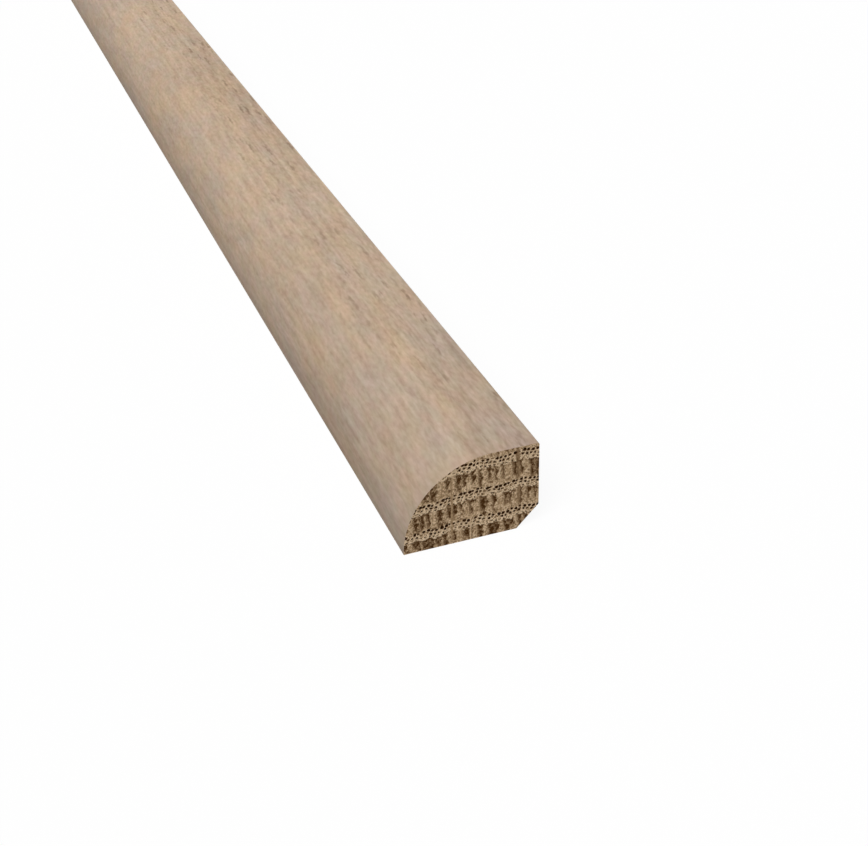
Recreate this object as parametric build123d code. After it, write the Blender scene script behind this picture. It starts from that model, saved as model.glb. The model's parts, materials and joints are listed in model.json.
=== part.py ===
"""Shoe moulding: one length of solid oak trim with a quarter-round nose.

The piece lies on its wide back, as it would on a level floor. Seen from its near
end, the toe is on the left and the foot, which stands on the floor once the trim
is fixed to a wall, is on the right. +Z is up, the length runs along Y, and the
origin is the middle of the rectangle that the piece covers on the floor.
"""

import os

from build123d import *

# Driving dimensions, in millimetres
LENGTH = 1981.2  # one stock length, 78 in
THICKNESS = 12.7  # from the back to the crown, and the nose's radius, 1/2 in
CROWN_FLAT = 6.35  # flat between the nose and the foot, 1/4 in
HEEL_RELIEF = 3.175  # each leg of the 45-degree cut between back and foot, 1/8 in
EASED_EDGE = 0.25  # radius of the sanded edge between the crown and the foot

# The back takes the nose and the flat: 3/4 in, from the toe to the foot's plane
BACK_WIDTH = THICKNESS + CROWN_FLAT


def section():
    """The section as a face, with X across the back and Y up from it.

    The nose is a quarter circle that leaves the toe square to the back and runs
    out flush with the crown. Sanding eases the crown's other edge, and the rest of
    the edges are as sharp as the cutters leave them.
    """
    foot_x = BACK_WIDTH / 2
    toe_x = -foot_x
    crown_x = foot_x - CROWN_FLAT
    nose = CenterArc((crown_x, 0), THICKNESS, start_angle=90, arc_size=90)
    flats = Polyline(
        (crown_x, THICKNESS),
        (foot_x, THICKNESS),
        (foot_x, HEEL_RELIEF),
        (foot_x - HEEL_RELIEF, 0),
        (toe_x, 0),
    )
    sharp = make_face([nose, flats])
    crown_edge = sharp.vertices().group_by(Axis.X)[-1].sort_by(Axis.Y)[-1]
    return fillet(crown_edge, EASED_EDGE)


def shoe_moulding():
    """The section run along the whole length, with both ends sawn square."""
    moulding = extrude(Plane.XZ * section(), amount=LENGTH / 2, both=True)
    moulding.label = "shoe_moulding"
    return moulding


os.makedirs("parts", exist_ok=True)
export_step(shoe_moulding(), "parts/shoe_moulding.step")
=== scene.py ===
"""Shoe moulding: one finished length of oak floor trim, laid out as a Blender add-on.

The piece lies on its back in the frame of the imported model, in metres. Seen from the near
sawn end, which faces -Y, the toe is on the left, the foot on the right and the crown on top.
"""

import json
import math
from types import SimpleNamespace

import bpy
from bpy.props import (
    FloatProperty,
    FloatVectorProperty,
    IntProperty,
    PointerProperty,
)
from mathutils import Color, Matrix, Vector


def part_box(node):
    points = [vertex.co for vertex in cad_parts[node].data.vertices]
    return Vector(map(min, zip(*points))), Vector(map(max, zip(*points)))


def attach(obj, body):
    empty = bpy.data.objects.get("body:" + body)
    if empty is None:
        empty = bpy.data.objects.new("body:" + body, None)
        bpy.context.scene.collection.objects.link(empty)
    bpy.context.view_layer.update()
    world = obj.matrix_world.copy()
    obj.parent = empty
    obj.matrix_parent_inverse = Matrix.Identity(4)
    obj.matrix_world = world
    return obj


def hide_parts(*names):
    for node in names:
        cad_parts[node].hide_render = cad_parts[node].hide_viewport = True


bl_info = {
    "name": "Shoe Moulding",
    "version": (1, 0, 0),
    "blender": (4, 5, 0),
    "location": "3D View > Sidebar > Moulding",
    "description": "Makes a finished length of oak shoe moulding and a studio to see it in",
    "category": "Add Mesh",
}

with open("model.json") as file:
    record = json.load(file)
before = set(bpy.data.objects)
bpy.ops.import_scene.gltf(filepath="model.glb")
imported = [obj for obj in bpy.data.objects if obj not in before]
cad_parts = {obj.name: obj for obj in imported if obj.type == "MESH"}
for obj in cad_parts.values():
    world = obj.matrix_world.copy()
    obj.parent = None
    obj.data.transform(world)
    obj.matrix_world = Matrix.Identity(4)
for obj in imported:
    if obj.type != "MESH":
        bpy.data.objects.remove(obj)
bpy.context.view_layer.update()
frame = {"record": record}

MM = 0.001
NODE = "shoe_moulding"
LOW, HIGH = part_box(NODE)
SPAN = HIGH - LOW

# The back and the foot run from the heel's relief to the toe and to the crown's eased edge
MOUNTS = {mount["name"]: Vector(mount["pos_m"]) for mount in frame["record"]["mounts"]}
HEEL_RELIEF = -2 * MOUNTS["back_face"].x
EASED_EDGE = SPAN.z + HEEL_RELIEF - 2 * MOUNTS["foot_face"].z


def srgb(red, green, blue):
    """A colour as a screen shows it, 0 to 255, in the linear values that Blender works with."""
    return (*Color((red / 255, green / 255, blue / 255)).from_srgb_to_scene_linear(), 1.0)


# Settings that a user would change


def size_of(name, description, default):
    """A length that the sidebar shows in the scene's own unit."""
    return FloatProperty(
        name=name, description=description, default=default, unit="LENGTH", precision=5
    )


def count_of(name, description, default):
    """A whole number of divisions, rows or sides."""
    return IntProperty(name=name, description=description, default=default)


def colour_of(name, description, default):
    """A colour with a swatch in the sidebar."""
    return FloatVectorProperty(
        name=name, description=description, default=default, size=4, subtype="COLOR", min=0, max=1
    )


def strength_of(name, description, default):
    """Strength of a lamp or of the light from all round."""
    return FloatProperty(name=name, description=description, default=default)


def way_to(name, default):
    """Direction from the piece to the lamp whose strength is given just before."""
    return FloatVectorProperty(
        name=name, description="Way to that lamp", default=default, subtype="DIRECTION"
    )


def softness_of(name, degrees):
    """Angle that the same lamp takes up, seen from the piece."""
    return FloatProperty(
        name=name,
        description="How wide that lamp looks",
        default=math.radians(degrees),
        subtype="ANGLE",
    )


class MouldingShape(bpy.types.PropertyGroup):
    """Sizes of the moulding's section and run."""

    length: size_of("Length", "From one sawn end to the other", SPAN.y)
    thickness: size_of("Thickness", "From back to crown, and the radius of the nose", SPAN.z)
    back_width: size_of("Back Width", "From the toe to the plane of the foot", SPAN.x)
    heel_relief: size_of("Heel Relief", "Each leg of the cut between back and foot", HEEL_RELIEF)
    eased_edge: size_of("Eased Edge", "Rounding of the edge between crown and foot", EASED_EDGE)
    nose_facets: count_of("Nose Facets", "Flats that make up the nose", 48)
    strips: count_of("Strips", "Divisions along the length", 32)


class EndGrain(bpy.types.PropertyGroup):
    """Growth rings and pores on the sawn ends."""

    ring_spacing: size_of("Ring Spacing", "From one year's first pores to the next's", 4.33 * MM)
    first_ring: size_of("First Ring", "Height at which the uppermost pores start", 12.0 * MM)
    closing_start: size_of(
        "Closing Start", "Distance from the toe within which the rings close up", 12.0 * MM
    )
    closing_reach: size_of("Closing Reach", "Distance in which the spacing would halve", 28.0 * MM)
    waver: size_of("Waver", "How far the rings stray up and down", 1.4 * MM)
    pore_spacing: size_of("Pore Spacing", "Between pores of one row", 0.62 * MM)
    pore_radius: size_of("Pore Radius", "Radius of the larger pores", 0.25 * MM)
    pore_depth: size_of("Pore Depth", "How deep the sawn pores stand open", 0.5 * MM)
    rows: count_of("Rows", "Rows of pores that would fill a whole ring", 9)
    open_rows: count_of("Open Rows", "Rows that have open pores", 3)
    pore_sides: count_of("Pore Sides", "Sides of each pore", 10)
    # The shadow colour is painted shade: the pits' walls, a thin ring round each pore's mouth and
    # the whole pore where no pit is cut take it
    shadow: colour_of("Shadow", "Inside of a pore", srgb(62, 35, 13))
    summer_wood: colour_of("Summer Wood", "Dark patches late in a ring", srgb(76, 47, 18))
    ground: colour_of("Ground", "Plain wood between the patches", srgb(186, 155, 119))
    lace: colour_of("Lace", "Pale wood around the pores", srgb(246, 218, 182))


class GreigeFinish(bpy.types.PropertyGroup):
    """Colours of the matt finish on the nose, the crown and the foot."""

    sand: colour_of("Sand", "Warm wood", srgb(194, 167, 137))
    ash: colour_of("Ash", "Greyed wood", srgb(180, 163, 148))
    blush: colour_of("Blush", "Pinkish flecks", srgb(192, 161, 145))
    stone: colour_of("Stone", "Greenish grey flecks", srgb(182, 167, 141))
    tick: colour_of("Tick", "Short brown marks along the grain", srgb(126, 102, 80))


class Studio(bpy.types.PropertyGroup):
    """Camera and light."""

    lens: FloatProperty(
        name="Lens", description="Focal length on a 36 mm sensor", default=60.278, unit="CAMERA"
    )
    camera_place: FloatVectorProperty(
        name="Camera Place",
        description="From the near end's toe to the camera",
        default=(-46.975 * MM, -145.165 * MM, 112.555 * MM),
        subtype="TRANSLATION",
    )
    camera_turn: FloatVectorProperty(
        name="Camera Turn",
        description="Turn of the camera about X, Y and Z",
        default=(math.radians(58.7261), math.radians(1.3255), math.radians(-20.3867)),
        subtype="EULER",
    )
    key_strength: strength_of("Key Strength", "Soft lamp above the nose", 3.4)
    key_towards: way_to("Key Towards", (-0.365, -0.486, 0.794))
    key_softness: softness_of("Key Softness", 40)
    rim_strength: strength_of("Rim Strength", "Low lamp behind the foot", 0.8)
    rim_towards: way_to("Rim Towards", (0.7, 0.71, 0.04))
    rim_softness: softness_of("Rim Softness", 8)
    fill_strength: strength_of("Fill Strength", "Even light from all round", 0.06)
    floor_grey: FloatProperty(
        name="Floor Grey",
        description="Share of the light that the floor throws back",
        default=0.08,
        min=0,
        max=1,
        subtype="FACTOR",
    )


# Node trees written as Python expressions


class Wire:
    """A node's output. Arithmetic on it adds Math nodes, or Vector Math nodes on vectors."""

    def __init__(self, graph, socket):
        self.graph = graph
        self.socket = socket

    def other(self, name):
        """Another output of the same node."""
        return Wire(self.graph, find_socket(self.socket.node.outputs, name))

    def maths(self, operation, *terms):
        """One node that works on these terms, in order."""
        vectors = any(isinstance(t, Wire) and t.socket.type == "VECTOR" for t in terms)
        kind = "ShaderNodeVectorMath" if vectors else "ShaderNodeMath"
        return self.graph.node(kind, dict(enumerate(terms)), operation=operation)

    def __add__(self, term):
        return self.maths("ADD", self, term)

    def __radd__(self, term):
        return self.maths("ADD", term, self)

    def __sub__(self, term):
        return self.maths("SUBTRACT", self, term)

    def __rsub__(self, term):
        return self.maths("SUBTRACT", term, self)

    def __mul__(self, term):
        return self.maths("MULTIPLY", self, term)

    def __rmul__(self, term):
        return self.maths("MULTIPLY", term, self)

    def __truediv__(self, term):
        return self.maths("DIVIDE", self, term)

    def __rtruediv__(self, term):
        return self.maths("DIVIDE", term, self)

    def __mod__(self, term):
        return self.maths("FLOORED_MODULO", self, term)

    def __lt__(self, term):
        return self.maths("LESS_THAN", self, term)

    def __gt__(self, term):
        return self.maths("GREATER_THAN", self, term)

    def __abs__(self):
        return self.maths("ABSOLUTE", self)

    def __floor__(self):
        return self.maths("FLOOR", self)

    def at_most(self, term):
        """The smaller of the two."""
        return self.maths("MINIMUM", self, term)

    def at_least(self, term):
        """The larger of the two."""
        return self.maths("MAXIMUM", self, term)

    def hypotenuse(self, term):
        """Length of a right triangle's long side."""
        return self.maths("SQRT", self * self + term * term)

    def equals(self, number):
        """1 where this is the whole number, and 0 elsewhere."""
        return abs(self - number) < 0.5

    def rise(self, start, end):
        """0 up to the start, 1 from the end on, smooth between. It falls if start is the larger."""
        sockets = {"Value": self, "From Min": start, "From Max": end}
        return self.graph.node("ShaderNodeMapRange", sockets, interpolation_type="SMOOTHSTEP")

    def blend(self, first, second):
        """The first colour where this is 0, the second where it is 1."""
        sockets = {"Factor": self, "A": first, "B": second}
        return self.graph.node("ShaderNodeMix", sockets, data_type="RGBA")

    @property
    def x(self):
        return self.graph.node("ShaderNodeSeparateXYZ", {0: self}, output="X")

    @property
    def y(self):
        return self.graph.node("ShaderNodeSeparateXYZ", {0: self}, output="Y")

    @property
    def z(self):
        return self.graph.node("ShaderNodeSeparateXYZ", {0: self}, output="Z")


def find_socket(sockets, key):
    """A socket in use, by its place or its name. With no key it is the first one."""
    if isinstance(key, int):
        return sockets[key]
    return next(s for s in sockets if s.enabled and key in (None, s.name))


class Graph:
    """A node tree that is being wired up."""

    def __init__(self, tree):
        self.tree = tree

    def node(self, kind, sockets=None, output=None, **settings):
        """Adds a node: its settings first, then a value, a wire or wires for each socket."""
        made = self.tree.nodes.new(kind)
        for name, value in settings.items():
            setattr(made, name, value)
        for key, value in (sockets or {}).items():
            self.feed(find_socket(made.inputs, key), value)
        return Wire(self, find_socket(made.outputs, output)) if made.outputs else None

    def feed(self, socket, value):
        """Links a wire or several to a socket, or sets the socket's own value."""
        if isinstance(value, list):
            for wire in value:
                self.tree.links.new(wire.socket, socket)
        elif isinstance(value, Wire):
            self.tree.links.new(value.socket, socket)
        elif socket.type == "VECTOR" and isinstance(value, (int, float)):
            socket.default_value = (value, value, value)
        else:
            socket.default_value = value

    def vector(self, x, y, z):
        """A vector from three values."""
        return self.node("ShaderNodeCombineXYZ", {"X": x, "Y": y, "Z": z})

    def noise(self, point, patch, seed=0.0, detail=2.0, roughness=0.5):
        """Soft random values about 0, in patches of the given size. The seed picks the patches."""
        sockets = {
            "Vector": point / patch + seed,
            "Scale": 1.0,
            "Detail": detail,
            "Roughness": roughness,
        }
        return self.node("ShaderNodeTexNoise", sockets) - 0.5

    def line_noise(self, place, patch):
        """Soft random values about 0 along a line, in stretches of the given length."""
        sockets = {"W": place / patch, "Scale": 1.0, "Detail": 1.0}
        return self.node("ShaderNodeTexNoise", sockets, noise_dimensions="1D") - 0.5


# Growth rings, which the pits and the colours of the sawn ends both follow

# Length of the rings' waver, and how far along it the far end's rings are
WAVER_LENGTH = 3.0 * MM
FAR_END_SHIFT = 60.0 * MM

# Shares of a pore's spacing that it strays by and that each row is shifted by
PORE_JITTER = 0.53
ROW_STAGGER = 0.37

# Share of the radius that each row loses, and the smallest pore's share of it
ROW_SHRINK = 0.28
SMALLEST_PORE = 0.5

# Share of the first row's pores that is left out, and what each further row adds to it
FIRST_ROW_GAPS = 0.05
GAPS_PER_ROW = 0.15

# Rays cross the rings. Each has its distance from the toe, a width, two heights and a tone
RAYS = (
    SimpleNamespace(place=16.0 * MM, width=0.5 * MM, low=8.2 * MM, high=14.0 * MM, tone=0.22),
    SimpleNamespace(place=16.2 * MM, width=0.5 * MM, low=4.2 * MM, high=6.6 * MM, tone=0.3),
    SimpleNamespace(place=6.8 * MM, width=0.3 * MM, low=1.0 * MM, high=10.0 * MM, tone=0.4),
    SimpleNamespace(place=9.35 * MM, width=0.25 * MM, low=-1.0 * MM, high=3.6 * MM, tone=0.7),
)

# Shares of its width from its middle where a ray is full and where it stops, and its ends' fade
RAY_CORE = 0.3
RAY_EDGE = 0.65
RAY_FADE = 0.5 * MM

# No pore opens where a ray is stronger than this
PORE_FREE = 0.1


def closeness(across, grain):
    """How much closer the rings lie here than at the foot, as they close up towards the toe."""
    closed = (grain.closing_start - across).at_least(0) / grain.closing_reach
    return 1 + closed * closed


def ring_depth(graph, across, up, far, grain):
    """How far a point lies below the uppermost ring's start, were all rings spaced as at the foot.

    The point is given by its distances from the toe and from the back. far is 1 on the far
    end, whose rings waver differently, and 0 on the near end.
    """
    waver = graph.line_noise(across + far * FAR_END_SHIFT, WAVER_LENGTH) * grain.waver
    return grain.first_ring - up * closeness(across, grain) - waver


def on_ray(across, up, ray):
    """1 in the middle of a ray, falling to 0 at its sides and ends."""
    beside = abs(across - ray.place).rise(RAY_EDGE * ray.width, RAY_CORE * ray.width)
    above_low = up.rise(ray.low - RAY_FADE, ray.low + RAY_FADE)
    below_high = up.rise(ray.high + RAY_FADE, ray.high - RAY_FADE)
    return beside * above_low * below_high


def nearest_pore(graph, across, up, far, grain):
    """Centre and radius of the pore nearest to a point, and how far off the next pore's room is.

    Where there is no pore, the radius is 0.
    """
    row_spacing = grain.ring_spacing / grain.rows
    depth = ring_depth(graph, across, up, far, grain)
    shift = far * FAR_END_SHIFT
    place = (across + shift) / grain.pore_spacing
    line = depth / row_spacing
    staggered = graph.vector(place + ROW_STAGGER * line, line, 0)
    sockets = {"Vector": staggered, "Scale": 1.0, "Randomness": PORE_JITTER}
    cell = graph.node("ShaderNodeTexVoronoi", sockets, output="Position", voronoi_dimensions="2D")
    centre_across = (cell.x - ROW_STAGGER * cell.y) * grain.pore_spacing - shift
    above_back = ring_depth(graph, centre_across, 0, far, grain) - cell.y * row_spacing
    centre_up = above_back / closeness(centre_across, grain)
    row = math.floor(cell.y) % grain.rows
    draw = cell.other("Color")
    is_open = (row < grain.open_rows) * (draw.y > FIRST_ROW_GAPS + GAPS_PER_ROW * row)
    for ray in RAYS:
        is_open = is_open * (on_ray(centre_across, centre_up, ray) < PORE_FREE)
    share = SMALLEST_PORE + (1 - SMALLEST_PORE) * draw.x
    radius = grain.pore_radius * (1 - ROW_SHRINK * row) * share * is_open
    edges = {"voronoi_dimensions": "2D", "feature": "DISTANCE_TO_EDGE"}
    edge = graph.node("ShaderNodeTexVoronoi", sockets, **edges)
    return SimpleNamespace(across=centre_across, up=centre_up, radius=radius, edge=edge)


# The moulding's mesh

# Corners of the section's rectangle that are cut or rounded, by their place along its curve
HEEL_CORNER = 0
NOSE_CORNER = 2
CROWN_CORNER = 3
EASED_FACETS = 3
WELD = 0.001 * MM

# Plugs cut the pits: their taper each way from the sawn face, their height in pit depths, of which
# half stands clear of the wood, and the least wood that they leave beside them
PLUG_TAPER = 0.35
PLUG_HEIGHT = 2.0
PIT_MARGIN = 0.08 * MM

# Points to each pore's spacing that look for pores, and the distance within which two found one
SAMPLES_PER_PORE = 5
SAME_PORE = 0.02 * MM

# The sheet that colours are baked to: its lengths, their share of it and the gaps between them
SHEET_STRIPS = 4
SHEET_SHARE = 0.75
SHEET_GAP = 0.03
BAKE_MAP = "OFBake"
SHARP_ANGLE = math.radians(30)

# Faces whose normals point this far down are the back, and the back or the heel's relief
BACK_FACING = -0.9
UNFINISHED_FACING = -0.5

# Faces whose normals point this far towards the foot go beside it on the sheet
FOOT_FACING = 0.5

# Faces within this many pit depths of an end belong to it
END_DEPTHS = 2


def named_inputs(tree, values):
    """Gives a tree a named input for each value. Returns its graph, their wires and identifiers."""
    kinds = {
        float: "NodeSocketFloat",
        int: "NodeSocketInt",
        bpy.types.Material: "NodeSocketMaterial",
    }
    identifiers = {}
    for name, value in values.items():
        socket = tree.interface.new_socket(name, in_out="INPUT", socket_type=kinds[type(value)])
        identifiers[name] = socket.identifier
    entry = tree.nodes.new("NodeGroupInput")
    graph = Graph(tree)
    wires = {name: Wire(graph, entry.outputs[name]) for name in values}
    return graph, SimpleNamespace(**wires), identifiers


def section_outline(graph, size):
    """The section as a closed curve. Its Y axis points down once it is swept along the length."""
    corner = graph.node("GeometryNodeInputIndex")
    heel = corner.equals(HEEL_CORNER)
    nose = corner.equals(NOSE_CORNER)
    crown = corner.equals(CROWN_CORNER)
    radius = heel * size.heel_relief + nose * size.thickness + crown * size.eased_edge
    facets = heel + nose * size.nose_facets + crown * EASED_FACETS
    rectangle = graph.node(
        "GeometryNodeCurvePrimitiveQuadrilateral",
        {"Width": size.back_width, "Height": size.thickness},
        mode="RECTANGLE",
    )
    return graph.node(
        "GeometryNodeFilletCurve",
        {"Curve": rectangle, "Radius": radius, "Count": facets},
        mode="POLY",
    )


def swept_body(graph, size):
    """The section run along the whole length, with its ends closed."""
    ends = [graph.vector(0, side * size.length / 2, size.thickness / 2) for side in (-1, 1)]
    line = graph.node("GeometryNodeCurvePrimitiveLine", {"Start": ends[0], "End": ends[1]})
    run = graph.node("GeometryNodeResampleCurve", {"Curve": line, "Count": size.strips + 1})
    swept = graph.node(
        "GeometryNodeCurveToMesh",
        {"Curve": run, "Profile Curve": section_outline(graph, size), "Fill Caps": True},
    )
    return graph.node("GeometryNodeMergeByDistance", {"Geometry": swept, "Distance": WELD})


def wood_around(across, up, size):
    """How far a point of the section lies inside its outline."""
    from_foot = size.back_width - across
    left_of_crown = (size.thickness - across).at_least(0)
    inside_nose = size.thickness - left_of_crown.hypotenuse(up)
    inside_relief = (from_foot + up - size.heel_relief) / math.sqrt(2)
    return inside_nose.at_most(from_foot).at_most(up).at_most(inside_relief)


def pore_cutters(graph, size, side):
    """A tapered plug for every open pore of one end: side is -1 at the near end, 1 at the far."""
    far = (side + 1) // 2
    step = size.pore_spacing / SAMPLES_PER_PORE
    sheet = graph.node(
        "GeometryNodeMeshGrid",
        {
            "Size X": size.back_width,
            "Size Y": size.thickness,
            "Vertices X": size.back_width / step,
            "Vertices Y": size.thickness / step,
        },
    )
    corner = graph.vector(size.back_width / 2, size.thickness / 2, 0)
    placed = graph.node("GeometryNodeTransform", {"Geometry": sheet, "Translation": corner})
    points = graph.node("GeometryNodeMeshToPoints", {"Mesh": placed})
    position = graph.node("GeometryNodeInputPosition")
    pore = nearest_pore(graph, position.x, position.y, far, size)
    centre = graph.vector(pore.across, pore.up, 0)
    gathered = graph.node("GeometryNodeSetPosition", {"Geometry": points, "Position": centre})
    merged = {"Geometry": gathered, "Distance": SAME_PORE}
    centres = graph.node("GeometryNodeMergeByDistance", merged)
    plug = graph.node(
        "GeometryNodeMeshCone",
        {
            "Vertices": size.pore_sides,
            "Radius Top": 1 - side * PLUG_TAPER,
            "Radius Bottom": 1 + side * PLUG_TAPER,
            "Depth": PLUG_HEIGHT,
        },
        fill_type="NGON",
    )
    lowered = {"Geometry": plug, "Translation": (0, 0, PLUG_HEIGHT / -2)}
    middled = graph.node("GeometryNodeTransform", lowered)
    room = wood_around(position.x, position.y, size) - pore.radius
    plugs = graph.node(
        "GeometryNodeInstanceOnPoints",
        {
            "Points": centres,
            "Selection": (pore.radius > 0) * (room > PIT_MARGIN),
            "Instance": middled,
            "Scale": graph.vector(pore.radius, pore.radius, size.pore_depth),
        },
    )
    return graph.node(
        "GeometryNodeTransform",
        {
            "Geometry": plugs,
            "Translation": graph.vector(size.back_width / -2, side * size.length / 2, 0),
            "Rotation": (math.radians(90), 0, 0),
        },
    )


def bake_map(graph, size):
    """Place of each face corner on the sheet that the colours are baked to.

    The long faces lie side by side in four lengths, and the two ends share the last column.
    """
    position = graph.node("GeometryNodeInputPosition")
    normal = graph.node("GeometryNodeInputNormal")
    per_face = {"data_type": "FLOAT_VECTOR", "domain": "FACE"}
    face = graph.node("GeometryNodeFieldOnDomain", {0: position}, **per_face)
    facing = graph.node("GeometryNodeFieldOnDomain", {0: normal}, **per_face)
    across = position.x + size.back_width / 2
    beyond_nose = (across - size.thickness).at_least(0)
    angle = position.z.maths("ARCTAN2", position.z, (size.thickness - across).at_least(0))
    over_top = angle * size.thickness + beyond_nose
    top_length = size.thickness * (math.pi / 2 - 1) + size.back_width
    down_side = top_length + size.thickness - position.z
    under_back = top_length + size.thickness + size.back_width - across
    is_back = facing.z < BACK_FACING
    is_side = (facing.x > FOOT_FACING) * (1 - is_back)
    is_top = 1 - is_back - is_side
    around = over_top * is_top + down_side * is_side + under_back * is_back
    girth = top_length + size.thickness + size.back_width
    strip_length = size.length / SHEET_STRIPS
    strip = math.floor((face.y + size.length / 2) / strip_length)
    along = (position.y + size.length / 2) / strip_length - strip
    column = (strip + around / girth * (1 - SHEET_GAP)) / SHEET_STRIPS * SHEET_SHARE
    far = face.y > 0
    end_column = SHEET_SHARE + position.z / size.thickness * (1 - SHEET_SHARE)
    end_row = (far + across / size.back_width * (1 - SHEET_GAP)) / 2
    is_end = on_end(face, size)
    u = column * (1 - is_end) + end_column * is_end
    v = along * (1 - is_end) + end_row * is_end
    return graph.vector(u, v, 0)


def on_end(face, size):
    """1 on the faces of a sawn end, its pits included."""
    return abs(face.y) > size.length / 2 - END_DEPTHS * size.pore_depth


def moulding_tree(values):
    """The Geometry Nodes tree of the whole piece, and the identifiers of its inputs."""
    tree = bpy.data.node_groups.new("Shoe moulding", "GeometryNodeTree")
    graph, size, identifiers = named_inputs(tree, values)
    tree.interface.new_socket("Geometry", in_out="OUTPUT", socket_type="NodeSocketGeometry")
    cutters = [pore_cutters(graph, size, side) for side in (-1, 1)]
    joined = graph.node("GeometryNodeJoinGeometry", {"Geometry": cutters})
    plugs = graph.node("GeometryNodeRealizeInstances", {"Geometry": joined})
    body = graph.node(
        "GeometryNodeMeshBoolean",
        {
            "Mesh 1": painted(graph, swept_body(graph, size), size.finish),
            "Mesh 2": painted(graph, plugs, size.end_grain),
            "Self Intersection": True,
        },
        operation="DIFFERENCE",
        solver="EXACT",
    )
    position = graph.node("GeometryNodeInputPosition")
    facing = graph.node("GeometryNodeInputNormal")
    split = graph.node(
        "GeometryNodeTriangulate",
        {"Mesh": body, "Selection": on_end(position, size)},
        ngon_method="BEAUTY",
    )
    mapped = graph.node(
        "GeometryNodeStoreNamedAttribute",
        {"Geometry": split, "Name": BAKE_MAP, "Value": bake_map(graph, size)},
        data_type="FLOAT2",
        domain="CORNER",
    )
    smooth = graph.node(
        "GeometryNodeSetShadeSmooth", {"Geometry": mapped, "Shade Smooth": True}, domain="FACE"
    )
    sharp = graph.node("GeometryNodeInputMeshEdgeAngle") > SHARP_ANGLE
    creased = graph.node(
        "GeometryNodeSetShadeSmooth",
        {"Geometry": smooth, "Selection": sharp, "Shade Smooth": False},
        domain="EDGE",
    )
    piece = graph.node("GeometryNodeRealizeInstances", {"Geometry": creased})
    planed = painted(graph, piece, size.raw_oak, facing.z < UNFINISHED_FACING)
    sawn = painted(graph, planed, size.end_grain, on_end(position, size))
    graph.node("NodeGroupOutput", {"Geometry": sawn})
    return tree, identifiers


def painted(graph, geometry, material, where=True):
    """The geometry with a material on its chosen faces."""
    sockets = {"Geometry": geometry, "Material": material, "Selection": where}
    return graph.node("GeometryNodeSetMaterial", sockets)


# Materials


def new_material(name):
    """An empty material and the graph of its nodes."""
    material = bpy.data.materials.new(name)
    material.use_nodes = True
    material.node_tree.nodes.clear()
    return material, Graph(material.node_tree)


def finish_surface(graph, sockets, height, relief):
    """Ends a material in one Principled shader, with a bump of the given relief."""
    bump = graph.node("ShaderNodeBump", {"Height": height, "Distance": relief})
    shader = graph.node("ShaderNodeBsdfPrincipled", {**sockets, "Normal": bump})
    graph.node("ShaderNodeOutputMaterial", {"Surface": shader})


def object_point(graph):
    """The point being shaded, in the piece's own frame."""
    return graph.node("ShaderNodeTexCoord", output="Object")


# Sizes of the finish's patches across, along and up, from the widest to the narrowest
FADING = Vector((25, 160, 25)) * MM
DRIFT = Vector((14, 60, 14)) * MM
WARMTH = Vector((4, 14, 4)) * MM
PINK = Vector((1.5, 4, 1.5)) * MM
DASH = Vector((1.0, 7, 1.0)) * MM
LINE = Vector((0.6, 28, 0.6)) * MM
FLECK = Vector((0.45, 1.6, 0.45)) * MM

# How far patches turn the wood from greyed to warm, and its tint from stone to blush
WARM = SimpleNamespace(start=0.4, fading=1.2, warmth=2.3)
BLUSH = SimpleNamespace(start=0.5, pink=4.5)
TINT_SHARE = 0.33

# How far patches shade the wood, and the shares of a shade that red and blue take
SHADE = SimpleNamespace(drift=0.25, dash=0.55, line=0.35, fleck=0.5)
SHADE_ON_RED = 0.85
SHADE_ON_BLUE = 1.15

# Between these places on X, from the nose to the crown, the grain shows more and more plainly
PLAIN_START = -6.0 * MM
PLAIN_FULL = 4.0 * MM

# Strength of the shades and the ticks on the nose, and what the shades gain up to the crown
NOSE_SHADE = 0.85
NOSE_TICKS = 0.2
SHADE_GAIN = 0.3

# How much of their colour the ticks show, and how deep they lie in the finish's relief
TICK_STRENGTH = 0.55
TICK_DEPTH = 0.5
FINISH_RELIEF = 0.02 * MM


def greige_finish(colours):
    """Matt greige finish: warm and greyed wood with faint dashes, lines and short brown ticks."""
    material, graph = new_material("greige_finish")
    point = object_point(graph)
    fading = graph.noise(point, FADING, seed=39, detail=1)
    drift = graph.noise(point, DRIFT, seed=276, detail=1)
    warmth = graph.noise(point, WARMTH, seed=31, detail=3, roughness=0.6)
    pink = graph.noise(point, PINK, seed=83)
    dash = graph.noise(point, DASH, detail=3)
    line = graph.noise(point, LINE, seed=57, detail=1)
    fleck = graph.noise(point, FLECK, seed=19)
    warm = WARM.start + WARM.fading * fading + WARM.warmth * warmth
    hue = warm.blend(colours.ash, colours.sand)
    tint = (BLUSH.start + BLUSH.pink * pink).blend(colours.stone, colours.blush)
    mixed = {"Factor": TINT_SHARE, "A": hue, "B": tint}
    wood = graph.node("ShaderNodeMix", mixed, data_type="RGBA")
    plainness = point.x.rise(PLAIN_START, PLAIN_FULL)
    patches = SHADE.drift * drift + SHADE.dash * dash + SHADE.line * line + SHADE.fleck * fleck
    shade = (NOSE_SHADE + SHADE_GAIN * plainness) * patches
    tone = graph.vector(SHADE_ON_RED * shade, shade, SHADE_ON_BLUE * shade) + 1
    toned = graph.node("ShaderNodeVectorMath", {0: wood, 1: tone}, operation="MULTIPLY")
    marks = tick_marks(graph, point, fleck) * (NOSE_TICKS + plainness)
    colour = (TICK_STRENGTH * marks).blend(toned, colours.tick)
    sockets = {"Base Color": colour, "Roughness": 0.75, "Specular IOR Level": 0.15}
    finish_surface(graph, sockets, fleck + dash - TICK_DEPTH * marks, FINISH_RELIEF)
    return material


# Room that each tick has and half its own size, across, along and up
TICK_ROOM = Vector((0.9, 7, 0.9)) * MM
TICK_SIZE = Vector((0.36, 3.0, 0.36)) * MM
TICK_SEED = 7.0

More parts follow.
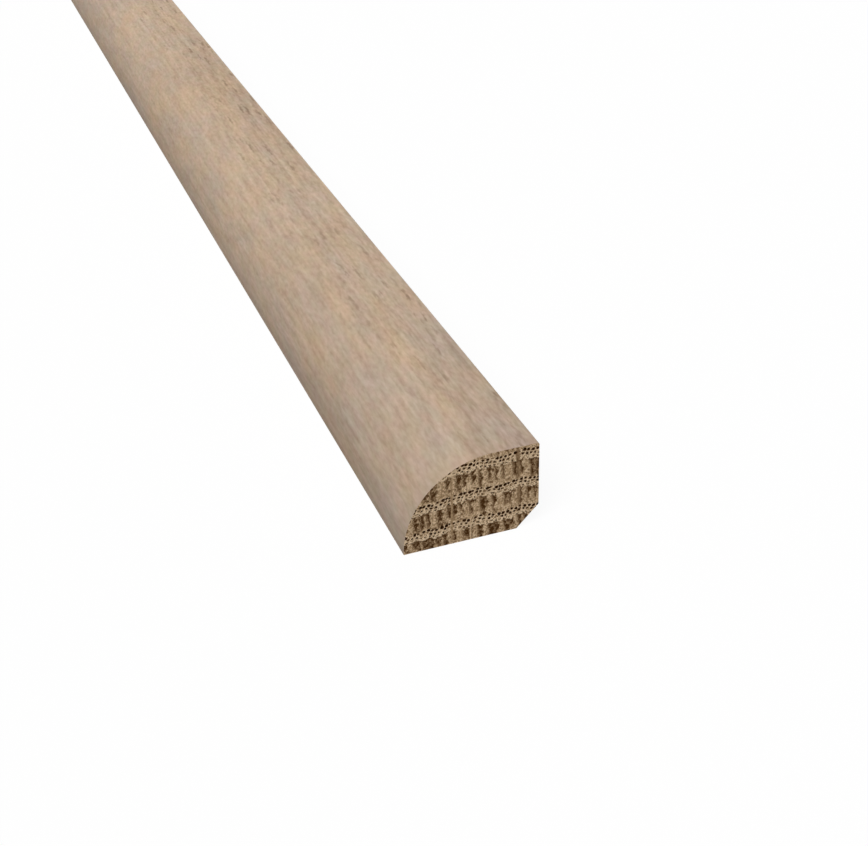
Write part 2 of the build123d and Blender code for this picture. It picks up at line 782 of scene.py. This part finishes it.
# Shares of its size where a tick is full and where it stops, how far flecks fray its outline, and
# the draw up to which a place has no tick
TICK_CORE = 0.1
TICK_EDGE = 1.2
TICK_FRAY = 2.0
NO_TICK = 0.5


def tick_marks(graph, point, fray):
    """1 in the middle of the short brown marks that open grain leaves under the finish."""
    sockets = {"Vector": point / TICK_ROOM + TICK_SEED, "Scale": 1.0}
    cell = graph.node("ShaderNodeTexVoronoi", sockets, output="Position")
    offset = (point - (cell - TICK_SEED) * TICK_ROOM) / TICK_SIZE
    reach = offset.maths("LENGTH", offset).other("Value") + TICK_FRAY * fray
    return reach.rise(TICK_EDGE, TICK_CORE) * cell.other("Color").x.rise(NO_TICK, 1.0)


# Sizes of the planed wood's streaks and fibres, the fibres' share in its tone and the tone's reach
STREAK = Vector((0.9, 25, 0.9)) * MM
FIBRE = Vector((0.25, 5, 0.25)) * MM
FIBRE_SHARE = 0.5
PLANED_REACH = 0.3
PLANED_RELIEF = 0.03 * MM


def raw_oak(colours):
    """Unfinished planed oak of the back and the heel's relief."""
    material, graph = new_material("raw_oak")
    point = object_point(graph)
    streak = graph.noise(point, STREAK, detail=3)
    fibre = graph.noise(point, FIBRE)
    tone = (streak + FIBRE_SHARE * fibre).rise(-PLANED_REACH, PLANED_REACH)
    colour = tone.blend(colours.ground, colours.lace)
    finish_surface(graph, {"Base Color": colour, "Roughness": 0.75}, fibre, PLANED_RELIEF)
    return material


# The sawn ends' grain, in millimetres across the face and below the start of each ring, and how far
# its grit moves what hangs there
SPECKLE = (0.3, 0.36, 1)
GRIT = (0.55, 0.8, 1)
GRIT_SAG = 2.5

# Pale lace follows the borders between the pores' rooms, down to where their band ends, and a pale
# fringe hangs at the end of that band
LACE_DEPTH = 1.25
LACE_FADE = 0.15
LACE = SimpleNamespace(core=0.04, edge=0.15, fray=0.5)
FRINGE_DEPTH = 1.15
FRINGE = SimpleNamespace(core=0.06, edge=0.22)

# Flames of summer wood: how they stand side by side, and the shift that sets each ring's apart
FLAME_SPACING = 1.15
FLAME_STRAY = 0.8
FLAME_SWAY = 1.8
RING_SHIFT = 53

# Half the width of the narrowest flame, what draws, rings and a wide top add to it, and where the
# top is full and ends
FLAME_WIDTH = SimpleNamespace(least=0.1, draw=0.27, ring=0.08, top=0.4)
FLAME_TOP = SimpleNamespace(full=1.4, end=2.1)
FLAME_LENGTH = SimpleNamespace(least=2.8, draw=1.7)

# How steeply a flame fades in at its top and out at its tip, and how far speckles fray it
FLAME_SLOPE = SimpleNamespace(top=0.6, tip=0.3)
FLAME_FRAY = 1.2

# Distances inside a flame where it starts to darken and is dark, and its pale edging outside
FLAME_SHADE = SimpleNamespace(start=-0.2, full=0.24)
EDGING = SimpleNamespace(start=-0.3, full=-0.2, fading=-0.16, end=-0.06, paleness=0.4)

# The plain wood's tone, and how far each thing lightens or darkens it
TONE = SimpleNamespace(plain=0.5, speckle=1.5, pale=0.85, band=0.18, flame=0.49)
RAY_FRAY = 0.5 * MM
RAY_SPECKLE = 0.8

# Depths where the painted shade in a pit starts and is full, and millimetres outside a pore's side
# where the painted shade round it starts and is full
PIT_LIP = 0.01 * MM
PIT_DARK = 0.06 * MM
PORE_RIM = SimpleNamespace(start=0.05, full=-0.02)
SAWN_RELIEF = 0.05 * MM


def end_grain(grain):
    """Sawn ends: rows of pores in pale lace, and dark flames that hang towards the next ring."""
    material, graph = new_material("end_grain")
    point = object_point(graph)
    across = point.x - LOW.x
    up = point.z
    far = point.y > 0
    depth = ring_depth(graph, across, up, far, grain)
    pore = nearest_pore(graph, across, up, far, grain)
    clear = ((across - pore.across).hypotenuse(up - pore.up) - pore.radius) / MM
    # Painted shade in the pores: darker with depth in each pit, and over each pore's mouth on the
    # sawn face
    pit_shade = (HIGH.y - abs(point.y)).rise(PIT_LIP, PIT_DARK)
    painted_pore_shade = pit_shade.at_least(clear.rise(PORE_RIM.start, PORE_RIM.full) * (pore.radius > 0))
    flat = graph.vector((across + far * FAR_END_SHIFT) / MM, depth / MM, 0)
    speckle = graph.noise(flat, SPECKLE)
    grit = graph.noise(flat, GRIT, seed=13, detail=3, roughness=0.6)
    below = (depth % grain.ring_spacing) / MM
    band = below.rise(LACE_DEPTH + LACE_FADE, LACE_DEPTH - LACE_FADE)
    lace = (pore.edge + LACE.fray * speckle).rise(LACE.edge, LACE.core) * band
    fringe = abs(below - FRINGE_DEPTH + GRIT_SAG * grit).rise(FRINGE.edge, FRINGE.core)
    flame = flames(graph, flat, below, grit, speckle, grain)
    edging = flame.rise(EDGING.start, EDGING.full) * flame.rise(EDGING.end, EDGING.fading)
    pale = lace.at_least(fringe).at_least(EDGING.paleness * edging)
    light = TONE.plain + TONE.speckle * speckle + grit + TONE.pale * pale
    dark = flame.rise(FLAME_SHADE.start, FLAME_SHADE.full)
    tone = light - TONE.band * band - TONE.flame * dark
    for ray in RAYS:
        shown = on_ray(across + RAY_FRAY * grit, up, ray)
        tone = tone + shown * (ray.tone + RAY_SPECKLE * speckle - tone)
    # The lower half of the tones runs from summer wood to the ground, the upper half on to lace
    shaded = (2 * tone).blend(grain.summer_wood, grain.ground)
    wood = (2 * tone - 1).blend(shaded, grain.lace)
    # The pores' painted shade lays the shadow colour over the wood
    colour = painted_pore_shade.blend(wood, grain.shadow)
    sockets = {"Base Color": colour, "Roughness": 0.9, "Specular IOR Level": 0.0}
    finish_surface(graph, sockets, tone, SAWN_RELIEF)
    return material


def flames(graph, flat, below, grit, speckle, grain):
    """How far a point lies inside the dark summer wood, in millimetres, and below 0 outside it.

    A ragged streak hangs from the lace every millimetre or so. Some are widest at the top, and
    all are broader in each ring below the uppermost.
    """
    ring = math.floor(flat.y * MM / grain.ring_spacing)
    place = (flat.x + FLAME_SWAY * grit) / FLAME_SPACING + RING_SHIFT * ring
    sockets = {"W": place, "Scale": 1.0, "Randomness": FLAME_STRAY}
    streak = graph.node("ShaderNodeTexVoronoi", sockets, output="W", voronoi_dimensions="1D")
    draw = streak.other("Color")
    hang = below + GRIT_SAG * grit
    at_top = hang.rise(FLAME_TOP.end, FLAME_TOP.full)
    narrow = FLAME_WIDTH.least + FLAME_WIDTH.draw * draw.x + FLAME_WIDTH.ring * ring
    width = narrow + FLAME_WIDTH.top * draw.z * at_top
    length = FLAME_LENGTH.least + FLAME_LENGTH.draw * draw.y
    beside = width - abs(place - streak) * FLAME_SPACING
    below_top = FLAME_SLOPE.top * (hang - LACE_DEPTH)
    above_tip = FLAME_SLOPE.tip * (length - hang)
    return beside.at_most(below_top).at_most(above_tip) + FLAME_FRAY * speckle


# Operators

# Settings of the end grain that only the materials use
END_COLOURS = ("shadow", "summer_wood", "ground", "lace")


def add_object(name, data):
    """A new object in the scene's own collection."""
    made = bpy.data.objects.new(name, data)
    bpy.context.scene.collection.objects.link(made)
    return made


class MOULDING_OT_add_length(bpy.types.Operator):
    """Make the finished length of moulding in place of the plain one"""

    bl_idname = "moulding.add_length"
    bl_label = "Add Moulding"

    def execute(self, context):
        scene = context.scene
        shape = scene.moulding_shape
        grain = scene.moulding_end_grain
        grain_sizes = [key for key in EndGrain.__annotations__ if key not in END_COLOURS]
        values = {
            **{key: getattr(shape, key) for key in MouldingShape.__annotations__},
            **{key: getattr(grain, key) for key in grain_sizes},
            "finish": greige_finish(scene.moulding_finish),
            "raw_oak": raw_oak(grain),
            "end_grain": end_grain(grain),
        }
        tree, identifiers = moulding_tree(values)
        carrier = add_object("moulding_carrier", bpy.data.meshes.new("moulding_carrier"))
        modifier = carrier.modifiers.new("Shoe moulding", "NODES")
        modifier.node_group = tree
        for name, value in values.items():
            modifier[identifiers[name]] = value
        evaluated = carrier.evaluated_get(context.evaluated_depsgraph_get())
        mesh = bpy.data.meshes.new_from_object(evaluated)
        bpy.data.objects.remove(carrier)
        if not mesh.polygons:
            raise RuntimeError("the moulding's tree made no faces")
        mesh.name = "oak_moulding"
        moulding = add_object("oak_moulding", mesh)
        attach(moulding, "root")
        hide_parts(NODE)
        return {"FINISHED"}


class MOULDING_OT_set_stage(bpy.types.Operator):
    """Set up the pale floor, the soft light and the camera"""

    bl_idname = "moulding.set_stage"
    bl_label = "Set Stage"

    def execute(self, context):
        studio = context.scene.moulding_studio
        self.add_floor(studio)
        self.add_light(context.scene, studio)
        self.add_camera(context.scene, studio)
        context.scene.view_settings.view_transform = "Standard"
        return {"FINISHED"}

    def add_floor(self, studio):
        """A wide floor that looks white and still takes the piece's shadow."""
        reach = 30.0
        drop = 0.02 * MM
        mesh = bpy.data.meshes.new("floor")
        ways = ((-1, -1), (1, -1), (1, 1), (-1, 1))
        corners = [(x * reach, y * reach, LOW.z - drop) for x, y in ways]
        mesh.from_pydata(corners, [], [(0, 1, 2, 3)])
        material, graph = new_material("pale_floor")
        grey = studio.floor_grey
        cloth = graph.node("ShaderNodeBsdfDiffuse", {"Color": (grey, grey, grey, 1)})
        glow = graph.node("ShaderNodeEmission", {"Strength": 1 - grey})
        white = graph.node("ShaderNodeAddShader", {0: cloth, 1: glow})
        shown = graph.node("ShaderNodeMixShader", {0: seen_directly(graph), 1: cloth, 2: white})
        graph.node("ShaderNodeOutputMaterial", {"Surface": shown})
        mesh.materials.append(material)
        add_object("floor", mesh)

    def add_light(self, scene, studio):
        """A soft lamp above the nose, a low one behind the foot, and a fill that looks white."""
        for name in ("key", "rim"):
            lamp = bpy.data.lights.new(name, "SUN")
            lamp.energy = getattr(studio, f"{name}_strength")
            lamp.angle = getattr(studio, f"{name}_softness")
            towards = Vector(getattr(studio, f"{name}_towards"))
            add_object(name, lamp).rotation_euler = towards.to_track_quat("Z", "Y").to_euler()
        world = bpy.data.worlds.new("studio")
        world.use_nodes = True
        world.node_tree.nodes.clear()
        graph = Graph(world.node_tree)
        white = (1, 1, 1, 1)
        even = {"Color": white, "Strength": studio.fill_strength}
        fill = graph.node("ShaderNodeBackground", even)
        backdrop = graph.node("ShaderNodeBackground", {"Color": white, "Strength": 1.0})
        shown = graph.node("ShaderNodeMixShader", {0: seen_directly(graph), 1: fill, 2: backdrop})
        graph.node("ShaderNodeOutputWorld", {"Surface": shown})
        scene.world = world

    def add_camera(self, scene, studio):
        """The camera beside the near end, looking down along the run."""
        data = bpy.data.cameras.new("camera")
        data.lens = studio.lens
        data.clip_start = 10 * MM
        camera = add_object("camera", data)
        camera.location = LOW + Vector(studio.camera_place)
        camera.rotation_euler = studio.camera_turn
        scene.camera = camera


def seen_directly(graph):
    """1 for what the camera, a mirror or a glass shows, and 0 for light that falls on things."""
    path = graph.node("ShaderNodeLightPath", output="Is Camera Ray")
    return path.at_least(path.other("Is Glossy Ray")).at_least(path.other("Is Transmission Ray"))


class MOULDING_PT_sidebar(bpy.types.Panel):
    """Everything that makes the moulding and its studio"""

    bl_idname = "MOULDING_PT_sidebar"
    bl_label = "Shoe Moulding"
    bl_space_type = "VIEW_3D"
    bl_region_type = "UI"
    bl_category = "Moulding"

    def draw(self, context):
        for operator, pointers in (
            (MOULDING_OT_add_length, ("moulding_shape", "moulding_end_grain", "moulding_finish")),
            (MOULDING_OT_set_stage, ("moulding_studio",)),
        ):
            box = self.layout.box()
            for pointer in pointers:
                settings = getattr(context.scene, pointer)
                for key in settings.__annotations__:
                    box.prop(settings, key)
            box.operator(operator.bl_idname)


SETTINGS = {
    "moulding_shape": MouldingShape,
    "moulding_end_grain": EndGrain,
    "moulding_finish": GreigeFinish,
    "moulding_studio": Studio,
}
CLASSES = (*SETTINGS.values(), MOULDING_OT_add_length, MOULDING_OT_set_stage, MOULDING_PT_sidebar)


def register():
    for added in CLASSES:
        bpy.utils.register_class(added)
    for name, group in SETTINGS.items():
        setattr(bpy.types.Scene, name, PointerProperty(type=group))


def unregister():
    for name in SETTINGS:
        delattr(bpy.types.Scene, name)
    for added in reversed(CLASSES):
        bpy.utils.unregister_class(added)


def main():
    """Makes everything in order."""
    register()
    bpy.ops.moulding.add_length()
    bpy.ops.moulding.set_stage()


if __name__ == "__main__":
    main()
